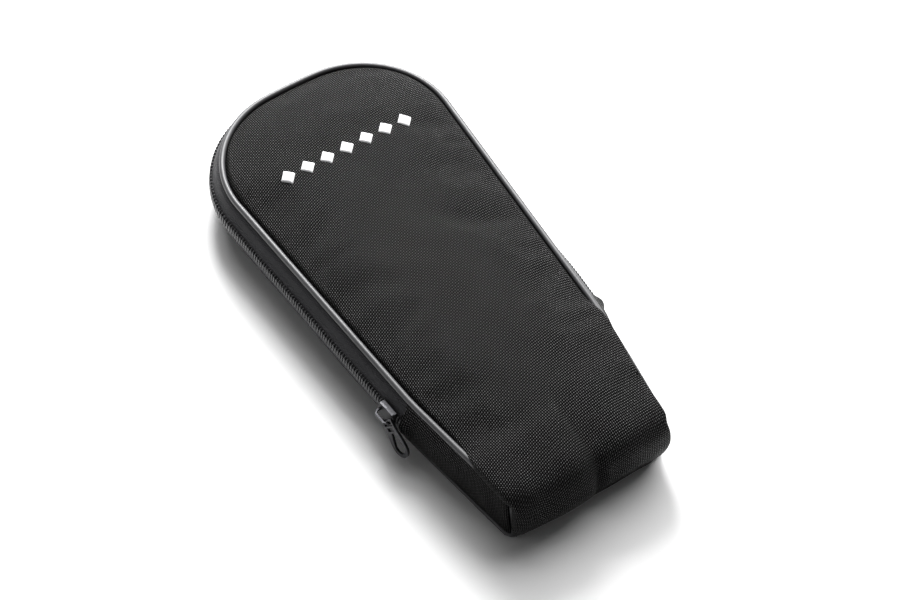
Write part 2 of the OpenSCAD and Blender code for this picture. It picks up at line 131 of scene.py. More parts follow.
def edge_distance(flat, outline):
    """Least distance in mm from each flat point to an outline, both of its halves."""
    rim = np.vstack([outline, outline[::-1] * [-1, 1]])
    rim = spaced(rim, 1.0)
    a, b = rim[:-1], rim[1:]
    p = flat.reshape(-1, 1, 2)
    t = np.clip(((p - a) * (b - a)).sum(-1) / ((b - a) ** 2).sum(-1), 0, 1)
    d = np.linalg.norm(p - a - t[..., None] * (b - a), axis=-1).min(1)
    return d.reshape(flat.shape[:2])


def new_piece(name, points, faces):
    """A smooth piece from points in metres and faces that count through them in order."""
    mesh = bpy.data.meshes.new(name)
    mesh.from_pydata(points.reshape(-1, 3).tolist(), [], faces)
    mesh.polygons.foreach_set("use_smooth", [True] * len(mesh.polygons))
    mesh.update()
    made = bpy.data.objects.new(name, mesh)
    bpy.context.scene.collection.objects.link(made)
    return made


def grid_mesh(name, points, ring=False, flip=False, uv=None):
    """A smooth quad mesh over a grid of points in metres, n rows by m columns. A ring closes
    each row on itself, and has a face over its first and its last row. flip turns the faces
    over, and uv is the place of each point on the cloth, in mm."""
    n, m = points.shape[:2]
    columns = m if ring else m - 1
    i, j = [g.ravel() for g in np.meshgrid(np.arange(n - 1), np.arange(columns), indexing="ij")]
    j1 = (j + 1) % m
    quads = np.stack([i * m + j, i * m + j1, (i + 1) * m + j1, (i + 1) * m + j], 1)
    if flip:
        quads = quads[:, ::-1]
    faces = quads.tolist()
    if ring:
        first = np.arange(m)
        faces += [first[::-1].tolist(), (first + (n - 1) * m).tolist()]
    made = new_piece(name, points, faces)
    if uv is not None:
        layer = made.data.uv_layers.new(name="weave")
        layer.data.foreach_set("uv", uv.reshape(-1, 2)[quads.ravel()].astype(np.float32).ravel())
    return made


def thicken(piece, thickness):
    """Gives a sheet its thickness in mm, on the side away from its face."""
    solid = piece.modifiers.new("thickness", "SOLIDIFY")
    solid.thickness = thickness * MM
    solid.offset = -1
    return piece


def finish_with(piece, material, body, slot, *nodes):
    """Gives a piece its material and body, and hides the CAD nodes that it stands for.
    Its slot is not used.
    """
    piece.data.materials.clear()
    piece.data.materials.append(material)
    if body:
        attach(piece, body)
    if nodes:
        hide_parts(*nodes)
    return piece


class Nodes:
    """Short calls for the shader nodes of one material."""

    def __init__(self, name):
        self.material = bpy.data.materials.new(name)
        self.material.use_nodes = True
        self.tree = self.material.node_tree
        self.shader = self.tree.nodes["Principled BSDF"]

    def add(self, kind, **settings):
        """A new node of a kind, with its settings."""
        node = self.tree.nodes.new(kind)
        for key, value in settings.items():
            setattr(node, key, value)
        return node

    def join(self, source, node, socket):
        """Feeds a socket from an output, or sets it to a number."""
        if isinstance(source, (int, float)):
            node.inputs[socket].default_value = source
        else:
            self.tree.links.new(source, node.inputs[socket])

    def math(self, operation, a, b=0.0, c=0.0):
        """One step of arithmetic on outputs or numbers."""
        node = self.add("ShaderNodeMath", operation=operation)
        for k, value in enumerate((a, b, c)):
            self.join(value, node, k)
        return node.outputs[0]

    def mix(self, share, a, b):
        """a where share is 0 and b where it is 1, for numbers."""
        node = self.add("ShaderNodeMix", data_type="FLOAT")
        for source, socket in ((share, 0), (a, 2), (b, 3)):
            self.join(source, node, socket)
        return node.outputs[0]

    def colour(self, share, dark, light):
        """A colour between two, by a share."""
        node = self.add("ShaderNodeMix", data_type="RGBA")
        self.join(share, node, 0)
        node.inputs[6].default_value = (*dark, 1)
        node.inputs[7].default_value = (*light, 1)
        return node.outputs[2]

    def noise(self, vector, scale, detail=2.0, roughness=0.5):
        """Soft noise from 0 to 1; a scale of 100 has features of about 10 mm."""
        node = self.add("ShaderNodeTexNoise")
        self.join(vector, node, "Vector")
        for key, value in (("Scale", scale), ("Detail", detail), ("Roughness", roughness)):
            node.inputs[key].default_value = value
        return node.outputs["Fac"]

    def place(self):
        """The place on the object, in metres."""
        return self.add("ShaderNodeTexCoord").outputs["Object"]

    def cloth_place(self):
        """Across and along the cloth, in mm."""
        split = self.add("ShaderNodeSeparateXYZ")
        self.join(self.add("ShaderNodeUVMap", uv_map="weave").outputs[0], split, 0)
        return split.outputs[0], split.outputs[1]

    def bump(self, height, strength, distance):
        """Relief from a height of 0 to 1, over a distance in metres."""
        node = self.add("ShaderNodeBump")
        self.join(height, node, "Height")
        node.inputs["Strength"].default_value = strength
        node.inputs["Distance"].default_value = distance
        self.tree.links.new(node.outputs[0], self.shader.inputs["Normal"])

    def feed(self, source, socket):
        """Feeds a socket of the shader from an output."""
        self.tree.links.new(source, self.shader.inputs[socket])

    def set(self, **values):
        """Sets sockets of the shader to plain values, and gives the material."""
        for key, value in values.items():
            self.shader.inputs[key.replace("_", " ")].default_value = value
        return self.material


warp_pitch, weft_pitch = 0.86, 1.03
weft_slant, weft_bow = 0.20, 0.0018


def yarn(n, a, b):
    """Height of one yarn system: round across its width a, and arched along b where it lies on
    top. Both are counted in yarns."""
    across_yarn = n.math("ABSOLUTE", n.math("SINE", n.math("MULTIPLY", a, math.pi)))
    arch = n.math("ABSOLUTE", n.math("SINE", n.math("MULTIPLY", b, math.pi)))
    return n.math("MULTIPLY", n.math("POWER", across_yarn, 0.7), n.math("MULTIPLY_ADD", arch, 0.7, 0.3))


def nylon(name, dark, light):
    """Coated ballistic nylon: a plain weave of thick round yarns. In odd squares of the cloth
    the warp lies on top and in even squares the weft. The weft rises by the slant to the right
    and bows a little, as in cloth off the roll. The colour is painted shade, dark in the gaps
    between the yarns and lighter on their crowns, with a random mottle."""
    n = Nodes(name)
    u, v = n.cloth_place()
    wander = n.math("MULTIPLY", n.math("SUBTRACT", n.noise(n.place(), 220.0), 0.5), 0.35)
    bow = n.math("MULTIPLY", n.math("MULTIPLY", u, u), weft_bow)
    rise = n.math("ADD", n.math("MULTIPLY", u, -weft_slant), bow)
    a = n.math("ADD", n.math("DIVIDE", u, warp_pitch), wander)
    b = n.math("ADD", n.math("DIVIDE", n.math("ADD", v, rise), weft_pitch), wander)
    square = n.math("ADD", n.math("FLOOR", a), n.math("FLOOR", b))
    odd = n.math("ABSOLUTE", n.math("MODULO", square, 2.0))
    weft, warp = yarn(n, b, a), yarn(n, a, b)
    height = n.mix(odd, weft, n.math("MULTIPLY", warp, 0.85))
    patchy = n.noise(n.place(), 34.0, 3.0)
    crown = n.math("POWER", height, 3.0)
    # Painted shade: the colour darkens into the gaps between the yarns, by the cube of the yarn height,
    # times a random mottle.
    shade = n.math("MULTIPLY", crown, n.math("MULTIPLY_ADD", patchy, 1.0, 0.5))
    n.feed(n.colour(shade, dark, light), "Base Color")
    n.feed(n.math("MULTIPLY_ADD", height, -0.2, 0.62), "Roughness")
    n.feed(n.math("MULTIPLY", crown, 0.66), "Specular IOR Level")
    n.bump(height, 1.0, 0.0005)
    return n.material


# The dark colour is the painted shade in the gaps between the yarns.
nylon_cloth = nylon("ballistic_nylon", (0.0015, 0.0015, 0.0015), (0.024, 0.0237, 0.0235))

edge_steps = [0, 0.3, 0.8, 1.5, 2.4, 3.6, 5.2, 7.4]
panel_w, back_l, turn_reach = 98.0, 225.0, 4.0
across = clustered(34, edge_steps, panel_w)
along_back = clustered(76, edge_steps, back_l)
plan_edge = np.stack([seam[:, 0] - seam[:, 2] * edge_in, seam[:, 1] - seam[:, 3] * edge_in], 1)


def back_sheet(name, low, high, lift):
    """A flat ply of the back between two heights in mm. Its edge turns up by lift, as the square
    of the distance outward from a line inside it."""
    flat = patch(plan_edge, across, along_back)
    turned_up = lift * np.maximum(0, 1 - edge_distance(flat, plan_edge) / turn_reach) ** 2
    points = np.dstack([flat, low + turned_up]) * MM
    return thicken(grid_mesh(name, points, flip=True, uv=flat), high - low)


back_cloth = back_sheet("back_cloth", 0.0, cloth_t, 1.1)
finish_with(back_cloth, nylon_cloth, "base", "outer_cloth", "back_panel")

# Back padding and lining
# A sheet of grey foam stiffens the back, and a thin black brushed lining covers it inside. Both
# are cut as the back cloth is, and are caught in the same seam.
foam_t, lining_t, stack_t = 3.0, 0.6, 4.8

foam = Nodes("foam")
cells = foam.noise(foam.place(), 900.0, 3.0, 0.7)
foam.feed(foam.colour(cells, (0.09, 0.09, 0.095), (0.26, 0.26, 0.27)), "Base Color")
foam.bump(cells, 0.5, 0.0004)
foam_material = foam.set(Roughness=0.9, Sheen_Weight=0.2)

brushed = Nodes("brushed_lining")
nap = brushed.noise(brushed.place(), 1500.0, 4.0, 0.75)
drift = brushed.noise(brushed.place(), 55.0, 3.0)
nap_share = brushed.math("MULTIPLY", nap, brushed.math("MULTIPLY_ADD", drift, 1.0, 0.4))
brushed.feed(brushed.colour(nap_share, (0.006, 0.006, 0.007), (0.05, 0.05, 0.055)), "Base Color")
brushed.bump(nap, 0.6, 0.0004)
lining_material = brushed.set(Roughness=0.92, Specular_IOR_Level=0.3, Sheen_Weight=0.08)

foam_low = cloth_t + ply_gap
back_foam = back_sheet("back_foam", foam_low, foam_low + foam_t, 0.3)
finish_with(back_foam, foam_material, "base", "foam", "back_padding")
back_lining = back_sheet("back_lining_cloth", stack_t - lining_t, stack_t, 0.4)
finish_with(back_lining, lining_material, "base", "lining", "back_lining")

# Side walls of cloth
# Below the ends of the zip the side is a strip of the same nylon, sewn to the back and to the
# front. It stands a little slack, and its upper end is turned in over the end of the zip.
wall_h, end_swell, gusset_t, right_tight = 25.6, 0.8, 1.2, 1.3
floor_gap, roll_r, end_lean, lean_reach = 0.3, 8.0, 3.0, 30.0
back_z = floor_gap + pipe_r
front_z = back_z + wall_h
mid_z = back_z + wall_h / 2
zip_z, right_zip_y = mid_z + 1.6, -48.5
wall_cloth_t, wall_start, wall_over, wall_inset, seam_in = 0.7, 0.9, 1.6, 0.25, 0.6
hem_l, hem_end, hem_rise, chain_rise, chain_reach = 4.0, 0.5, 0.45, 1.6, 4.2
slack_from, slack_to, tuck_from, tuck_depth = 24, 3, 0.6, 2.2


def ramp(value, start, stop):
    """0 before start and 1 after stop, smooth between, whichever of them is larger."""
    t = np.clip((value - start) / (stop - start), 0, 1)
    return t * t * (3 - 2 * t)


def side_run(y0, y1, step):
    """Stations of the right side seam from one distance along the case to another."""
    ends = [[np.interp(y, seam[:, 1], column) for column in seam.T] for y in (y0, y1)]
    inner = seam[(seam[:, 1] > y0) & (seam[:, 1] < y1)]
    rows = spaced(np.vstack([ends[0], inner, ends[1]]), step)
    rows[:, 2:] /= np.linalg.norm(rows[:, 2:], axis=1)[:, None]
    return rows


def lean(y, z):
    """How far the narrow end leans back at a height; it dies out along the sides."""
    up = np.maximum(0, z - stack_t) / (front_z - stack_t)
    return end_lean * up * np.maximum(0, 1 - (y - end_y) / lean_reach)


def swell_at(x, y):
    """How far the side wall swells out of the seam line at half its height: little at the narrow
    end, and a little less on the right side of the case than on the left."""
    share = np.clip((y - end_y) / (waist_y - end_y), 0, 1)
    tight = right_tight * ramp(x, 10, 35) * ramp(y, -36, -6)
    return end_swell + (wall_swell - end_swell) * share - tight


def wall_off(x, y, z):
    """Distance of the side wall from the seam line at a height: a parabola between the seams."""
    return swell_at(x, y) * (1 - ((z - mid_z) / (wall_h / 2)) ** 2)


def on_wall(s, off, z):
    """Points off the seam line: along the station's normal by off, at height z, leaning back at
    the narrow end. off and z are one number, or have a row for each station. In mm."""
    x, y, nx, ny = [c[:, None] for c in s.T]
    off, z = np.broadcast_arrays(np.atleast_2d(off), np.atleast_2d(z))
    return np.stack(np.broadcast_arrays(x + nx * off, y + ny * off + lean(y, z), z), -1)


def roll_drop(y):
    """How far the front seam drops as the front rolls over the narrow end."""
    q = np.clip(y - end_y, 0, roll_r)
    return roll_r - np.sqrt(np.maximum(0, roll_r ** 2 - (roll_r - q) ** 2))


def run_length(s):
    """Distance along a run of stations, in mm."""
    return np.concatenate([[0], np.cumsum(np.hypot(*np.diff(s[:, :2], axis=0).T))])


def wall_strip(name, s, off, z, thickness, side=1):
    """A strip of cloth or tape along the side wall on the right (1) or left (-1): off the seam
    line by off, at the heights z, thickened inward, with its weave along the run. In mm."""
    uv = np.stack(np.broadcast_arrays(run_length(s)[:, None], z), -1)
    return thicken(grid_mesh(name, on_wall(s, off, z) * MM, flip=side < 0, uv=uv), thickness)


def soft_folds(a, b, folds):
    """Sum of long soft ridges over two flat coordinates in mm. Each fold is a place, a
    direction in degrees, a length, a width and a height, as a stretched bell."""
    total = np.zeros(np.broadcast(a, b).shape)
    for fa, fb, turn, length, width, height in folds:
        c, s = math.cos(math.radians(turn)), math.sin(math.radians(turn))
        p, q = (a - fa) * c + (b - fb) * s, -(a - fa) * s + (b - fb) * c
        total += height * np.exp(-(p / length) ** 2 - (q / width) ** 2)
    return total


def rounded(piece, levels):
    """Smooths a piece by subdivision, the same in every view."""
    smooth = piece.modifiers.new("smooth", "SUBSURF")
    smooth.levels = smooth.render_levels = levels
    return piece


def side_cloth(name, side, top_y, slack, folds):
    """A cloth side wall on the right (1) or left (-1), from the back seam up to the front seam,
    as a grid along and up the wall. Near its upper end, at top_y, it is lifted over the end of
    the zip and turned in as a hem, and below it the wall stands out by some slack."""
    s = side_run(end_y + wall_start, top_y + wall_over, 1.4) * [side, 1, side, 1]
    t = np.concatenate([[0, 0.02, 0.05], np.linspace(0.09, 0.91, 16), [0.95, 0.98, 1]])
    top = front_z - roll_drop(s[:, 1]) - hem_end
    z = (back_z + seam_in) + t[None, :] * (top[:, None] - back_z - seam_in)
    y = s[:, 1][:, None]
    folded = soft_folds(y, z, folds) * np.sin(np.pi * t) ** 0.7
    off = wall_off(s[:, 0][:, None], y, z) - wall_inset + folded
    hem = ramp(y, top_y - hem_l - hem_end, top_y - hem_end)
    over_chain = np.exp(-((z - zip_z) / chain_reach) ** 4)
    off += hem * (hem_rise + chain_rise * over_chain)
    off += slack * ramp(y, top_y - slack_from, top_y - slack_to) * np.sin(np.pi * t)
    tuck = np.maximum(0, y - top_y - tuck_from)
    off -= tuck_depth * tuck ** 2 * (0.2 + 0.8 * over_chain)
    return rounded(wall_strip(name, s, off, z, wall_cloth_t, side), 1)


left_folds = [(-70, 17, 70, 9, 4, 0.7), (-88, 12, 110, 9, 4, -0.8), (-101, 16, 80, 9, 3, 0.7),
              (-107, 11, 100, 8, 2.4, -0.5), (-78, 20, 15, 12, 3, 0.4)]
right_folds = [(-70, 15, 100, 9, 4, -0.6), (-92, 15, 75, 9, 4, 0.8), (-104, 14, 95, 9, 3, -0.6)]
left_wall = side_cloth("left_side_cloth", -1, waist_y, 0.0, left_folds)
right_wall = side_cloth("right_side_cloth", 1, right_zip_y, 1.4, right_folds)
finish_with(left_wall, nylon_cloth, "base", "outer_cloth", "left_gusset")
finish_with(right_wall, nylon_cloth, "base", "outer_cloth", "right_gusset")


lining_low, lining_high, lining_start, lining_stop = 10.1, 17.4, 2.5, 0.2


def side_lining(name, side):
    """The lining of a cloth side wall, between the two bindings."""
    s = side_run(end_y + lining_start, waist_y - lining_stop, 2.5) * [side, 1, side, 1]
    z = np.linspace(lining_low, lining_high, 9)[None, :]
    off = wall_off(s[:, 0][:, None], s[:, 1][:, None], z) - gusset_t - ply_gap
    return wall_strip(name, s, off, z, lining_t, side)


left_inside = side_lining("left_side_lining", -1)
right_inside = side_lining("right_side_lining", 1)
finish_with(left_inside, lining_material, "base", "lining", "left_gusset_lining")
finish_with(right_inside, lining_material, "base", "lining", "right_gusset_lining")

# Zip tapes
# Two woven polyester tapes run round the crown. One is sewn to the back and one to the front,
# and each carries a row of nylon coil on its outer edge.
tape_t, tape_wave, wave_l, sewn_edge, edge_bend = 0.8, 0.12, 9.0, 10.6, 0.5
tape_below, tape_sewn, tape_gap = 1.5, 0.8, 0.15


def twill(name, pitch, dark, light):
    """Woven tape: a herringbone of fine twill lines that change direction every few mm. Its
    colour is painted shade, darker in the grooves between the lines.
    """
    n = Nodes(name)
    u, v = n.cloth_place()
    lane = n.math("PINGPONG", v, 2.2)
    slant = n.math("FRACT", n.math("DIVIDE", n.math("ADD", u, lane), pitch))
    rib = n.math("SINE", n.math("MULTIPLY", slant, math.pi))
    cross = n.math("ABSOLUTE", n.math("SINE", n.math("DIVIDE", n.math("MULTIPLY", v, math.pi), 0.42)))
    height = n.math("MULTIPLY", rib, n.math("MULTIPLY_ADD", cross, 0.5, 0.5))
    # Painted shade: the colour darkens into the grooves, by the same height as the relief.
    n.feed(n.colour(height, dark, light), "Base Color")
    n.bump(height, 0.6, 0.0003)
    return n.set(Roughness=0.75, Specular_IOR_Level=0.3, Sheen_Weight=0.07, Sheen_Roughness=0.4)


tape_material = twill("zip_tape_twill", 0.9, (0.004, 0.004, 0.005), (0.022, 0.0215, 0.026))


def round_crown(y0, step):
    """Stations from the right side, round the crown, to the left side."""
    right = side_run(y0, crown_y, step)
    left = right[::-1][1:] * [-1, 1, -1, 1]
    return np.vstack([right, left])


def tape(name, z0, z1):
    """A zip tape from one height to another, along the swelling side wall. It waves a little
    along its run, and bends in towards the seam near its sewn edge."""
    s = round_crown(waist_y - tape_below, 2.0)
    wave = tape_wave * np.sin(run_length(s)[:, None] / wave_l)
    z = np.linspace(z0, z1, 10)[None, :]
    off = wall_off(s[:, 0][:, None], s[:, 1][:, None], z) + wave
    off = off - edge_bend * np.clip((np.abs(z - mid_z) - sewn_edge), 0, 2)
    return rounded(wall_strip(name, s, off, z, tape_t), 1)


back_tape = tape("back_tape", back_z + tape_sewn, zip_z - tape_gap)
finish_with(back_tape, tape_material, "base", "zip_tape", "back_zip_tape")
front_tape = tape("front_tape", zip_z + tape_gap, front_z - tape_sewn)
front_tapes = ["front_zip_tape", "left_tape_end", "right_tape_end"]
finish_with(front_tape, tape_material, None, "zip_tape", *front_tapes)
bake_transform(front_tape)

# Zip coil
# Each row is one nylon filament wound into loops and sewn to its tape. A loop runs from the
# sewn side to a wide head, which locks between two heads of the other row.
coil = Nodes("nylon_coil")
sheen_drift = coil.noise(coil.place(), 300.0)
coil.feed(coil.colour(sheen_drift, (0.014, 0.014, 0.015), (0.06, 0.06, 0.064)), "Base Color")
coil_material = coil.set(Roughness=0.36, Specular_IOR_Level=0.8)
coil_pitch, coil_below, loops_hidden, loop_slant = 1.55, 0.6, 3, 0.12
loop_side = np.array([3.3, 3.1, 2.4, 1.3, 0.4, -0.15, -0.5, -0.62])
loop_rise = np.array([0.45, 0.95, 1.3, 1.42, 1.5, 1.5, 1.25, 0.7])
loop_r = np.array([0.18, 0.44, 0.5, 0.5, 0.54, 0.6, 0.52, 0.2])


def coil_row(name, up):
    """One row of coil: a loop every pitch, as a tube of radius loop_r along a path from the sewn
    side to the head, by its distance from the chain's middle and its rise over the tape. up is 1
    for the front row and -1 for the back row, half a pitch apart. The first few loops lie under
    the right side cloth and are left out."""
    line = round_crown(waist_y - coil_below, 0.5)
    run = run_length(line)
    first = loops_hidden + (0.5 if up > 0 else 1.0)
    at = np.arange(coil_pitch * first, run[-1] - coil_pitch / 2, coil_pitch)
    s = np.stack([np.interp(at, run, c) for c in line.T], 1)
    slant = np.linspace(-loop_slant, loop_slant, len(loop_side)) * up
    phi = np.arange(6) * math.pi / 3
    z = (zip_z + up * loop_side)[None, :, None] + np.zeros((1, 1, 6))
    off = loop_rise[None, :, None] + loop_r[None, :, None] * np.sin(phi)
    go = slant[None, :, None] + loop_r[None, :, None] * np.cos(phi)
    x, y, nx, ny = [c[:, None, None] for c in s.T]
    off = off + wall_off(x, y, zip_z)
    points = np.stack(np.broadcast_arrays(
        x + nx * off - ny * go, y + ny * off + nx * go + lean(y, zip_z), z), -1) * MM
    count, k, m = points.shape[:3]
    base = (np.arange(count) * k * m)[:, None]
    i, j = [g.ravel() for g in np.meshgrid(np.arange(k - 1), np.arange(m), indexing="ij")]
    quads = np.stack([i * m + j, i * m + (j + 1) % m, (i + 1) * m + (j + 1) % m, (i + 1) * m + j], 1)
    ends = np.stack([np.arange(m)[::-1], np.arange(m) + (k - 1) * m])
    if up > 0:
        quads, ends = quads[:, ::-1], ends[:, ::-1]
    faces = (quads[None] + base[:, :, None]).reshape(-1, 4).tolist()
    faces += (ends[None] + base[:, :, None]).reshape(-1, m).tolist()
    return new_piece(name, points, faces)


back_row = coil_row("back_coil", -1)
finish_with(back_row, coil_material, "base", "zip_coil", "back_zip_coil")
front_row = coil_row("front_coil", 1)
front_coils = ["front_zip_coil", "left_coil_end", "right_coil_end"]
finish_with(front_row, coil_material, None, "zip_coil", *front_coils)
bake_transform(front_row)

# Front panel
# The padded front is one cloth from the crown to the floor of the narrow end. It is stretched
# over foam, rolls steeply into the seam all round, and folds over the narrow end.
front_crown, end_share, crown_run, front_up = 4.5, 0.4, 60.0, 0.3
sink, sink_reach, edge_share, roll_reach, dome_power = 1.3, 2.8, 0.55, 6.5, 2.6
wrap_rise, wrap_reach, wrap_sink, rim_out, over_reach = 4.1, 2.6, 2.4, 0.62, 9
roll_y = floor_y + end_lean + roll_r
roll_z = front_z + front_up - roll_r
roll_l = roll_r * math.pi / 2
drop_l = math.hypot(end_lean, roll_z - floor_gap)
foot_y = roll_y - roll_l - drop_l


def front_base(v):
    """The middle line of the front, by distance along the cloth: straight down to the roll, a
    quarter circle, and straight down the narrow end. Gives y, z and the normal's y and z."""
    a = np.clip((roll_y - v) / roll_r, 0, math.pi / 2)
    down = np.clip(roll_y - roll_l - v, 0, None) / drop_l
    y = np.maximum(v, roll_y) - roll_r * np.sin(a) - end_lean * down
    z = roll_z + roll_r * np.cos(a) - (roll_z - floor_gap) * down
    return y, z, -np.sin(a), np.cos(a)


def rise_at(v):
    """Rise of the padding at the middle of the front: full on the lid, and less to both ends."""
    crown = 1 - np.clip((v - crown_y + crown_run) / crown_run, 0, 1) ** 3
    end = end_share + (1 - end_share) * np.clip((v - floor_y) / (waist_y - floor_y), -0.3, 1)
    return front_crown * np.minimum(crown, end)


def half_width(y, off):
    """Half the width of the outline that is offset from the seam line by off."""
    return np.interp(y, seam[:, 1] + seam[:, 3] * off, seam[:, 0] + seam[:, 2] * off)


straight_y, front_l = 60.0, 262.0
low_v = np.arange(foot_y, straight_y, 0.5)
low_y, low_z = front_base(low_v)[:2]
low_w = half_width(low_y - lean(low_y, low_z), -edge_in)
upper = plan_edge[plan_edge[:, 1] > straight_y]
front_edge = np.vstack([np.stack([low_w, low_v], 1), upper])
along_front = clustered(96, edge_steps, front_l)
front_flat = patch(front_edge, across, along_front)


def edge_round(d, reach):
    """A quarter ellipse from 0 at the seam to 1 at the given distance from it."""
    t = np.clip(1 - d / reach, 0, 1)
    return np.sqrt(np.maximum(0, 1 - t ** 2))


right_over, right_ease, right_corner, right_corner_v = 4.4, 0.4, 2.0, -118
left_over, left_corner, left_corner_v = 4.8, 2.2, -121
right_wrap_v, left_wrap_v, wrap_run = -103, -84, 11
bulge_rim, bulge_mid, bulge_left, bulge_half_w = 2.2, 6.2, 1.3, 37


def overhang(x, v):
    """How far the padding swells out sideways over the piping, in mm, by distance along the
    cloth: ramps on both sides of the pocket, and a bell at each corner of the narrow end."""
    right = right_over * ramp(v, -47, -64) - right_ease * ramp(v, -66, -84)
    right = right + right_corner * np.exp(-((v - right_corner_v) / 10) ** 2)
    left = left_over * ramp(v, -76, -97) + left_corner * np.exp(-((v - left_corner_v) / 9) ** 2)
    return np.where(x > 0, right, left) * ramp(v, foot_y, foot_y + 9)


def rim_share(x, v):
    """How far the rim itself wraps over the piping, from 0 to 1: at both corners, and on the left
    side already some way before the corner."""
    start = np.where(x > 0, right_wrap_v, left_wrap_v)
    return ramp(v, start, start - wrap_run)


def end_bulge(x, v):
    """How far the padding swells out over the foot of the narrow end, in mm: most in the middle
    of its width, by 1 less a fourth power, and at the level of the roll, and more on the left
    half than on the right."""
    level = ramp(v, -90, -112) * ramp(v, foot_y, foot_y + 17)
    middle = bulge_mid + bulge_left * ramp(x, 9, -5)
    inside = 1 - np.minimum(1, np.abs(x / bulge_half_w)) ** 4
    return (bulge_rim + (middle - bulge_rim) * inside) * level


def front_lift(flat):
    """Height of the front's cloth above its plain surface: sunk at the seam, rounded steeply at
    the edge by a quarter ellipse, and domed towards the middle line by 1 less a power of the
    share of the width. Where the rim wraps over the piping it starts lower and rises more."""
    x, v = flat[..., 0], flat[..., 1]
    d = edge_distance(flat, front_edge)
    wide = np.interp(v, front_edge[:, 1], front_edge[:, 0])
    level = ramp(v, roll_y - 10, roll_y)
    hung = np.clip(overhang(x, v) / 4, 0, 1)
    u = np.minimum(1, np.abs(x) / np.maximum(wide, 1))
    rise = rise_at(v) * level
    wrap = rim_share(x, v) * ramp(v, foot_y, foot_y + 6)
    sunk = -sink * (1 - hung) * (1 - edge_round(d, sink_reach))
    rolled = rise * edge_share * edge_round(d, roll_reach)
    domed = rise * (1 - edge_share) * (1 - u ** dome_power)
    return sunk + rolled + domed + wrap * (wrap_rise * edge_round(d, wrap_reach) - wrap_sink)


def on_front(flat, lift, spread=1.0):
    """Points of the front at a height above its plain surface, for flat places x and v in mm.
    They are moved out by the overhang, most at a third of the edge's roll, and by the bulge of
    the narrow end. At the corners the rim itself is moved out, over the standing piping."""
    x, v = flat[..., 0], flat[..., 1]
    y, z, ny, nz = front_base(v)
    wide = np.interp(v, front_edge[:, 1], front_edge[:, 0])
    t = np.clip((wide - np.abs(x)) / over_reach, 0, 1)
    rim = rim_out * rim_share(x, v)
    out = overhang(x, v) * (rim + (1 - rim) * np.sin(np.pi * t ** 0.6)) * np.sign(x) * spread
    return np.stack([x + out * (t < 1), y + ny * lift - end_bulge(x, v) * spread, z + nz * lift], -1)


def cloth_map(points, flat):
    """Places on the cloth in mm for a grid of points: the flat places, with every step across
    and along stretched as the surface stretches it, so that the weave keeps its size."""
    def run(axis):
        step = np.diff(flat, axis=axis)
        grow = np.linalg.norm(np.diff(points, axis=axis), axis=-1) / np.linalg.norm(step, axis=-1)
        return step[..., axis ^ 1] * grow

    u, v = np.zeros(flat.shape[:2]), np.zeros(flat.shape[:2])
    u[:, 1:] = np.cumsum(run(1), axis=1)
    u += (flat[..., 0] - u)[:, flat.shape[1] // 2][:, None]
    v[1:] = np.cumsum(run(0), axis=0)
    v += (flat[..., 1] - v)[-1]
    return np.stack([u, v], -1)


def puff(piece, steps, pressure, oversize, cap):
    """Lets a sheet swell as padded cloth: its rim is pinned, it is cut a little too large, and
    it is blown out from below. No point moves further than cap mm. Gives the moves in mm."""
    mesh = piece.data
    rest = np.zeros(len(mesh.vertices) * 3)
    mesh.vertices.foreach_get("co", rest)
    rest = rest.reshape(-1, 3)
    n, m = front_flat.shape[:2]
    i, j = np.divmod(np.arange(n * m), m)
    rim = np.minimum(np.minimum(i, n - 1 - i), np.minimum(j, m - 1 - j))
    group = piece.vertex_groups.new(name="rim")
    group.add(np.flatnonzero(rim < 4).tolist(), 1.0, "REPLACE")
    cloth = piece.modifiers.new("cloth", "CLOTH")
    cloth.settings.vertex_group_mass = "rim"
    cloth.settings.quality = 6
    cloth.settings.mass = 0.3
    cloth.settings.tension_stiffness = 20
    cloth.settings.compression_stiffness = 20
    cloth.settings.bending_stiffness = 2.0
    cloth.settings.shrink_min = -oversize
    cloth.settings.use_pressure = True
    cloth.settings.uniform_pressure_force = pressure
    cloth.settings.effector_weights.gravity = 0
    cloth.collision_settings.use_collision = False
    cloth.point_cache.frame_start, cloth.point_cache.frame_end = 1, steps
    for step in range(1, steps + 1):
        bpy.context.scene.frame_set(step)
    graph = bpy.context.evaluated_depsgraph_get()
    swollen = np.zeros(len(rest) * 3)
    piece.evaluated_get(graph).data.vertices.foreach_get("co", swollen)
    move = swollen.reshape(-1, 3) - rest
    far = np.linalg.norm(move, axis=1)[:, None]
    move *= np.minimum(1, cap * MM / np.maximum(far, 1e-9))
    piece.modifiers.remove(cloth)
    piece.vertex_groups.clear()
    bpy.context.scene.frame_set(1)
    mesh.vertices.foreach_set("co", (rest + move).ravel())
    mesh.update()
    return move.reshape(n, m, 3) / MM


front_folds = [
    (2, -118, 88, 8, 1.9, -3.2), (3, -109, 80, 9, 7, -1.5), (-17, -121, 5, 13, 7, 1.6),
    (-17, -88, 88, 22, 7, -1.1), (-32, -72, 75, 20, 6, -0.6), (14, -88, -20, 24, 9, 0.7),
    (24, -60, 60, 26, 10, 0.7), (-8, -30, 40, 40, 14, 0.5), (10, 15, -30, 40, 16, -0.5)]
fade_reach, ripple, front_cloth_t = 7, 0.22, 0.8
edge_fade = np.clip(edge_distance(front_flat, front_edge) / fade_reach, 0, 1)
front_x, front_v = front_flat[..., 0], front_flat[..., 1]
folded = soft_folds(front_x, front_v, front_folds) * edge_fade
wave_x = np.sin(front_x / 6.1 + 1.5 * np.sin(front_v / 11.0))
wave_v = np.sin(front_v / 7.3 + 1.2 * np.sin(front_x / 13.0))
folded += ripple * edge_fade * wave_x * wave_v
front_points = on_front(front_flat, front_lift(front_flat) + folded)
front_uv = cloth_map(front_points, front_flat)
front_cloth = grid_mesh("front_cloth", front_points * MM, uv=front_uv)
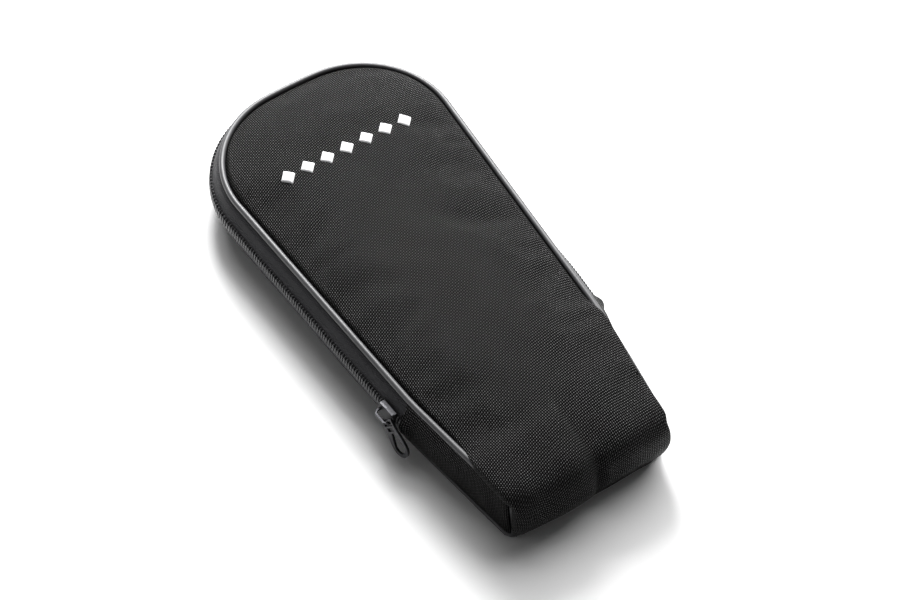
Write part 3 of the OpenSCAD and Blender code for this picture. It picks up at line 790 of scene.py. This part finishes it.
swelling = np.zeros(front_points.shape)
swelling = puff(front_cloth, steps=16, pressure=3.0, oversize=0.008, cap=2.0)
cloth_co = (front_points + swelling).reshape(-1, 3)
thicken(front_cloth, front_cloth_t)
rounded(front_cloth, 1)
finish_with(front_cloth, nylon_cloth, None, "outer_cloth", "lid_panel", "pocket_panel")
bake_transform(front_cloth)


ply_inset, ply_spread, foot_reach = 0.8, 0.55, 10


def front_ply(name, depth, thick):
    """One ply of the front at a depth below its outer surface, cut narrower by its depth, and
    1 mm short of the foot, so that it stays inside the cloth. It follows the cloth's swelling."""
    wide = np.interp(front_v, front_edge[:, 1], front_edge[:, 0])
    narrower = 1 - (ply_inset + depth) / np.maximum(wide, 4)
    shorter = np.clip(1 - (front_v - foot_y) / foot_reach, 0, 1)
    flat = np.stack([front_x * narrower, front_v + shorter], -1)
    points = on_front(flat, front_lift(flat) + folded - depth, ply_spread) + swelling
    return thicken(grid_mesh(name, points * MM, uv=flat), thick)


front_foam = front_ply("front_foam", cloth_t + ply_gap, foam_t)
finish_with(front_foam, foam_material, None, "foam", "lid_padding", "pocket_padding")
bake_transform(front_foam)

front_lining = front_ply("front_lining_cloth", stack_t - lining_t, lining_t)
finish_with(front_lining, lining_material, None, "lining", "lid_lining", "pocket_lining")
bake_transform(front_lining)

# Piping
# A cord covered in satin black vinyl is sewn into the seam all round the back and the front.
# The front piping runs down both corners of the narrow end and stands on the back piping.
vinyl = Nodes("satin_vinyl")
grain = vinyl.noise(vinyl.place(), 700.0, 3.0)
tone = vinyl.noise(vinyl.place(), 60.0, 2.0)
vinyl.feed(vinyl.colour(tone, (0.03, 0.03, 0.032), (0.06, 0.06, 0.064)), "Base Color")
vinyl.bump(grain, 0.15, 0.0002)
vinyl_material = vinyl.set(Roughness=0.46, Specular_IOR_Level=0.6)
pipe_sides, pipe_start, stand_gap, stand_z = 14, 0.1, 0.5, 3.05


def pipe(name, s, z, tilt):
    """A piping cord through stations at given heights: a round tube, with its ring spanned by
    the seam's normal and by a direction square to the run, tilted where it dives at the corner."""
    centre = on_wall(s, 0.0, z[:, None])[:, 0]
    out = np.stack([s[:, 2], s[:, 3], 0 * z], 1)
    ahead = np.stack([s[:, 3], -s[:, 2], 0 * z], 1)
    up = np.cos(tilt)[:, None] * [0, 0, 1] + np.sin(tilt)[:, None] * ahead
    phi = np.arange(pipe_sides)[None, :, None] * 2 * math.pi / pipe_sides
    ring = np.cos(phi) * out[:, None] + np.sin(phi) * up[:, None]
    return grid_mesh(name, (centre[:, None] + pipe_r * ring) * MM, ring=True)


back_s = round_crown(end_y + pipe_start, 2.0)
back_cord = pipe("back_cord", back_s, np.full(len(back_s), back_z), np.zeros(len(back_s)))
finish_with(back_cord, vinyl_material, "base", "piping", "back_piping")

stand_turn, stand_n = math.radians(65), 12
stand_s = side_run(end_y + end_r * (1 - math.sin(stand_turn)), crown_y, 1.0)
stand_drop = roll_drop(stand_s[:, 1])
stand_tilt = np.arcsin(1 - np.clip(stand_s[:, 1] - end_y, 0, roll_r) / roll_r)
down = np.linspace(stand_z, front_z - roll_r - stand_gap, stand_n)
right_s = np.vstack([np.repeat(stand_s[:1], stand_n, 0), stand_s])
right_z = np.concatenate([down, front_z - stand_drop])
right_tilt = np.concatenate([np.full(stand_n, math.pi / 2), stand_tilt])
left_s = (right_s * [-1, 1, -1, 1])[::-1][1:]
cord_s = np.vstack([right_s, left_s])
cord_z = np.concatenate([right_z, right_z[::-1][1:]])
cord_tilt = np.concatenate([right_tilt, -right_tilt[::-1][1:]])
front_cord = pipe("front_cord", cord_s, cord_z, cord_tilt)
finish_with(front_cord, vinyl_material, None, "piping", "lid_piping", "pocket_piping")
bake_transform(front_cord)

# Seam bindings
# Inside, a folded woven tape binds the raw edges of both seams. It is sewn on flat against the
# side wall and the zip tapes, and leaves the corners of the narrow end free.
binding_w, binding_t, back_binding_z, front_binding_z = 5.0, 0.8, 4.95, 17.55


def bound_seam(name, s, z0):
    """A flat binding tape behind the side wall, from a height upward."""
    z = np.linspace(z0, z0 + binding_w, 5)[None, :]
    return wall_strip(name, s, -gusset_t - ply_gap, z, binding_t)


back_bound = bound_seam("back_bound_seam", round_crown(end_y + end_r, 2.5), back_binding_z)
finish_with(back_bound, tape_material, "base", "binding", "back_seam_binding")
front_bound = bound_seam("front_bound_seam", round_crown(end_y + roll_r, 2.5), front_binding_z)
front_bindings = ["lid_seam_binding", "pocket_seam_binding"]
finish_with(front_bound, tape_material, None, "binding", *front_bindings)
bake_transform(front_bound)

# Stitched ornament
# A row of lozenges in white satin stitch on the front, each a small raised pad of thread sewn
# through the cloth before the front is made up.
thread = Nodes("white_thread")
split = thread.add("ShaderNodeSeparateXYZ")
thread.join(thread.place(), split, 0)
strand_w = 0.42 * MM
strand_turn = thread.math("MULTIPLY", split.outputs[1], math.pi / strand_w)
strand = thread.math("ABSOLUTE", thread.math("SINE", strand_turn))
# Painted shade: the white thread is greyer in the dips between its strands.
thread.feed(thread.colour(strand, (0.50, 0.50, 0.51), (0.86, 0.86, 0.87)), "Base Color")
thread.bump(strand, 0.5, 0.0002)
thread_material = thread.set(Roughness=0.5, Sheen_Weight=0.3)
lozenges, lozenge_pitch, lozenge_w, lozenge_h = 7, 9.4, 7.0, 7.6
pad_rise, pad_sunk, near_y, near_r = 0.75, 0.1, 20, 2.2
ornament_y = crown_y - 46


def cloth_height(x, y):
    """Height of the finished front cloth at places x and y, as the average of its points near
    each place, weighted by a narrow bell."""
    near = cloth_co[np.abs(cloth_co[:, 1] - ornament_y) < near_y]
    d2 = (near[:, 0] - x.reshape(-1, 1)) ** 2 + (near[:, 1] - y.reshape(-1, 1)) ** 2
    w = np.exp(-d2 / near_r ** 2)
    return ((w * near[:, 2]).sum(1) / w.sum(1)).reshape(x.shape)


def lozenge_grid(cx):
    """One lozenge as a grid of points: a square turned by 45 degrees, flat in the middle and
    rounded at its edges by the root of 1 less the sixth power of the share from the middle."""
    t = np.linspace(-1, 1, 13)
    p, q = np.meshgrid(t, t, indexing="ij")
    x = cx + (p - q) * lozenge_w / 4
    y = ornament_y + (p + q) * lozenge_h / 4
    pad = np.sqrt(np.maximum(0, 1 - np.maximum(np.abs(p), np.abs(q)) ** 6))
    return np.stack([x, y, cloth_height(x, y) + pad_rise * pad - pad_sunk], -1)


centres = (np.arange(lozenges) - (lozenges - 1) / 2) * lozenge_pitch
pads = [grid_mesh("lozenge_%d" % k, lozenge_grid(cx) * MM) for k, cx in enumerate(centres)]
for pad in pads:
    finish_with(pad, thread_material, "lid", "stitching")
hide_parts("embroidery")

# Slider
# The gunmetal slider has two plates joined by a web, with flanges that hold the coil. It is die
# cast, as is the pull tab, which hangs by its eye from a wire loop on the upper plate.
metal = Nodes("gunmetal")
wear = metal.noise(metal.place(), 420.0, 4.0, 0.6)
metal.feed(metal.colour(wear, (0.018, 0.018, 0.02), (0.065, 0.065, 0.07)), "Base Color")
metal.feed(metal.math("MULTIPLY_ADD", wear, 0.24, 0.22), "Roughness")
metal_material = metal.set(Metallic=0.85)
cast_edge, wire_edge, sharp_turn = 0.24, 0.2, math.radians(40)


def softened(name, node, width):
    """The CAD's piece with its edges rounded by a width in mm, as cast metal is."""
    made = bpy.data.objects.new(name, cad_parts[node].data.copy())
    made.data.polygons.foreach_set("use_smooth", [True] * len(made.data.polygons))
    bpy.context.scene.collection.objects.link(made)
    edge = made.modifiers.new("edges", "BEVEL")
    edge.width, edge.segments, edge.limit_method = width * MM, 2, "ANGLE"
    edge.angle_limit, edge.harden_normals = sharp_turn, True
    return made


cast_slider = softened("cast_slider", "slider_body", cast_edge)
finish_with(cast_slider, metal_material, "slider", "slider_metal", "slider_body")
wire_loop = softened("wire_loop", "slider_bail", wire_edge)
finish_with(wire_loop, metal_material, "slider", "slider_metal", "slider_bail")
cast_tab = softened("cast_tab", "pull_tab", wire_edge)
finish_with(cast_tab, metal_material, "tab", "slider_metal", "pull_tab")

# Studio
# A pale floor of matt white paper, one large soft light from the upper right, a small window
# light for the crown, a weak fill, and a camera at the photograph's angle.
bpy.ops.mesh.primitive_plane_add(size=8)
floor = bpy.context.object
floor.name = "studio_floor"
paper = Nodes("white_paper")
floor.data.materials.append(paper.set(Base_Color=(0.9, 0.9, 0.9, 1), Roughness=0.9))

world = bpy.data.worlds.new("studio")
bpy.context.scene.world = world
world.use_nodes = True
sky = world.node_tree.nodes["Background"]
sky.inputs["Color"].default_value = (1, 1, 1, 1)
sky.inputs["Strength"].default_value = 0.09


def soft_light(name, place, aim, size, power):
    """A square soft light at a place, facing a point."""
    lamp = bpy.data.lights.new(name, "AREA")
    lamp.size, lamp.energy = size, power
    made = bpy.data.objects.new(name, lamp)
    bpy.context.scene.collection.objects.link(made)
    made.location = place
    made.rotation_euler = (Vector(place) - Vector(aim)).to_track_quat("Z", "Y").to_euler()
    return made


soft_light("key", (0.64, 0.56, 0.76), (0, 0, 0), 1.7, 31)
soft_light("window", (0.20, 0.39, 0.37), (0.03, 0.09, 0), 0.25, 6.6)
soft_light("side", (-0.9, 0.5, 0.5), (0, 0, 0), 0.8, 0.8)

azimuth, elevation = math.radians(-32.919), math.radians(54.128)
target, distance = Vector((-3.87, -21.35, 27.2)) * MM, 1.152
level = math.cos(elevation)
back = Vector((math.sin(azimuth) * level, -math.cos(azimuth) * level, math.sin(elevation)))
camera_data = bpy.data.cameras.new("camera")
camera_data.lens, camera_data.sensor_width = 115.2, 36.0
camera = bpy.data.objects.new("camera", camera_data)
bpy.context.scene.collection.objects.link(camera)
camera.location = target + back * distance
camera.rotation_euler = back.to_track_quat("Z", "Y").to_euler()
bpy.context.scene.camera = camera
bpy.context.scene.view_settings.view_transform = "Standard"
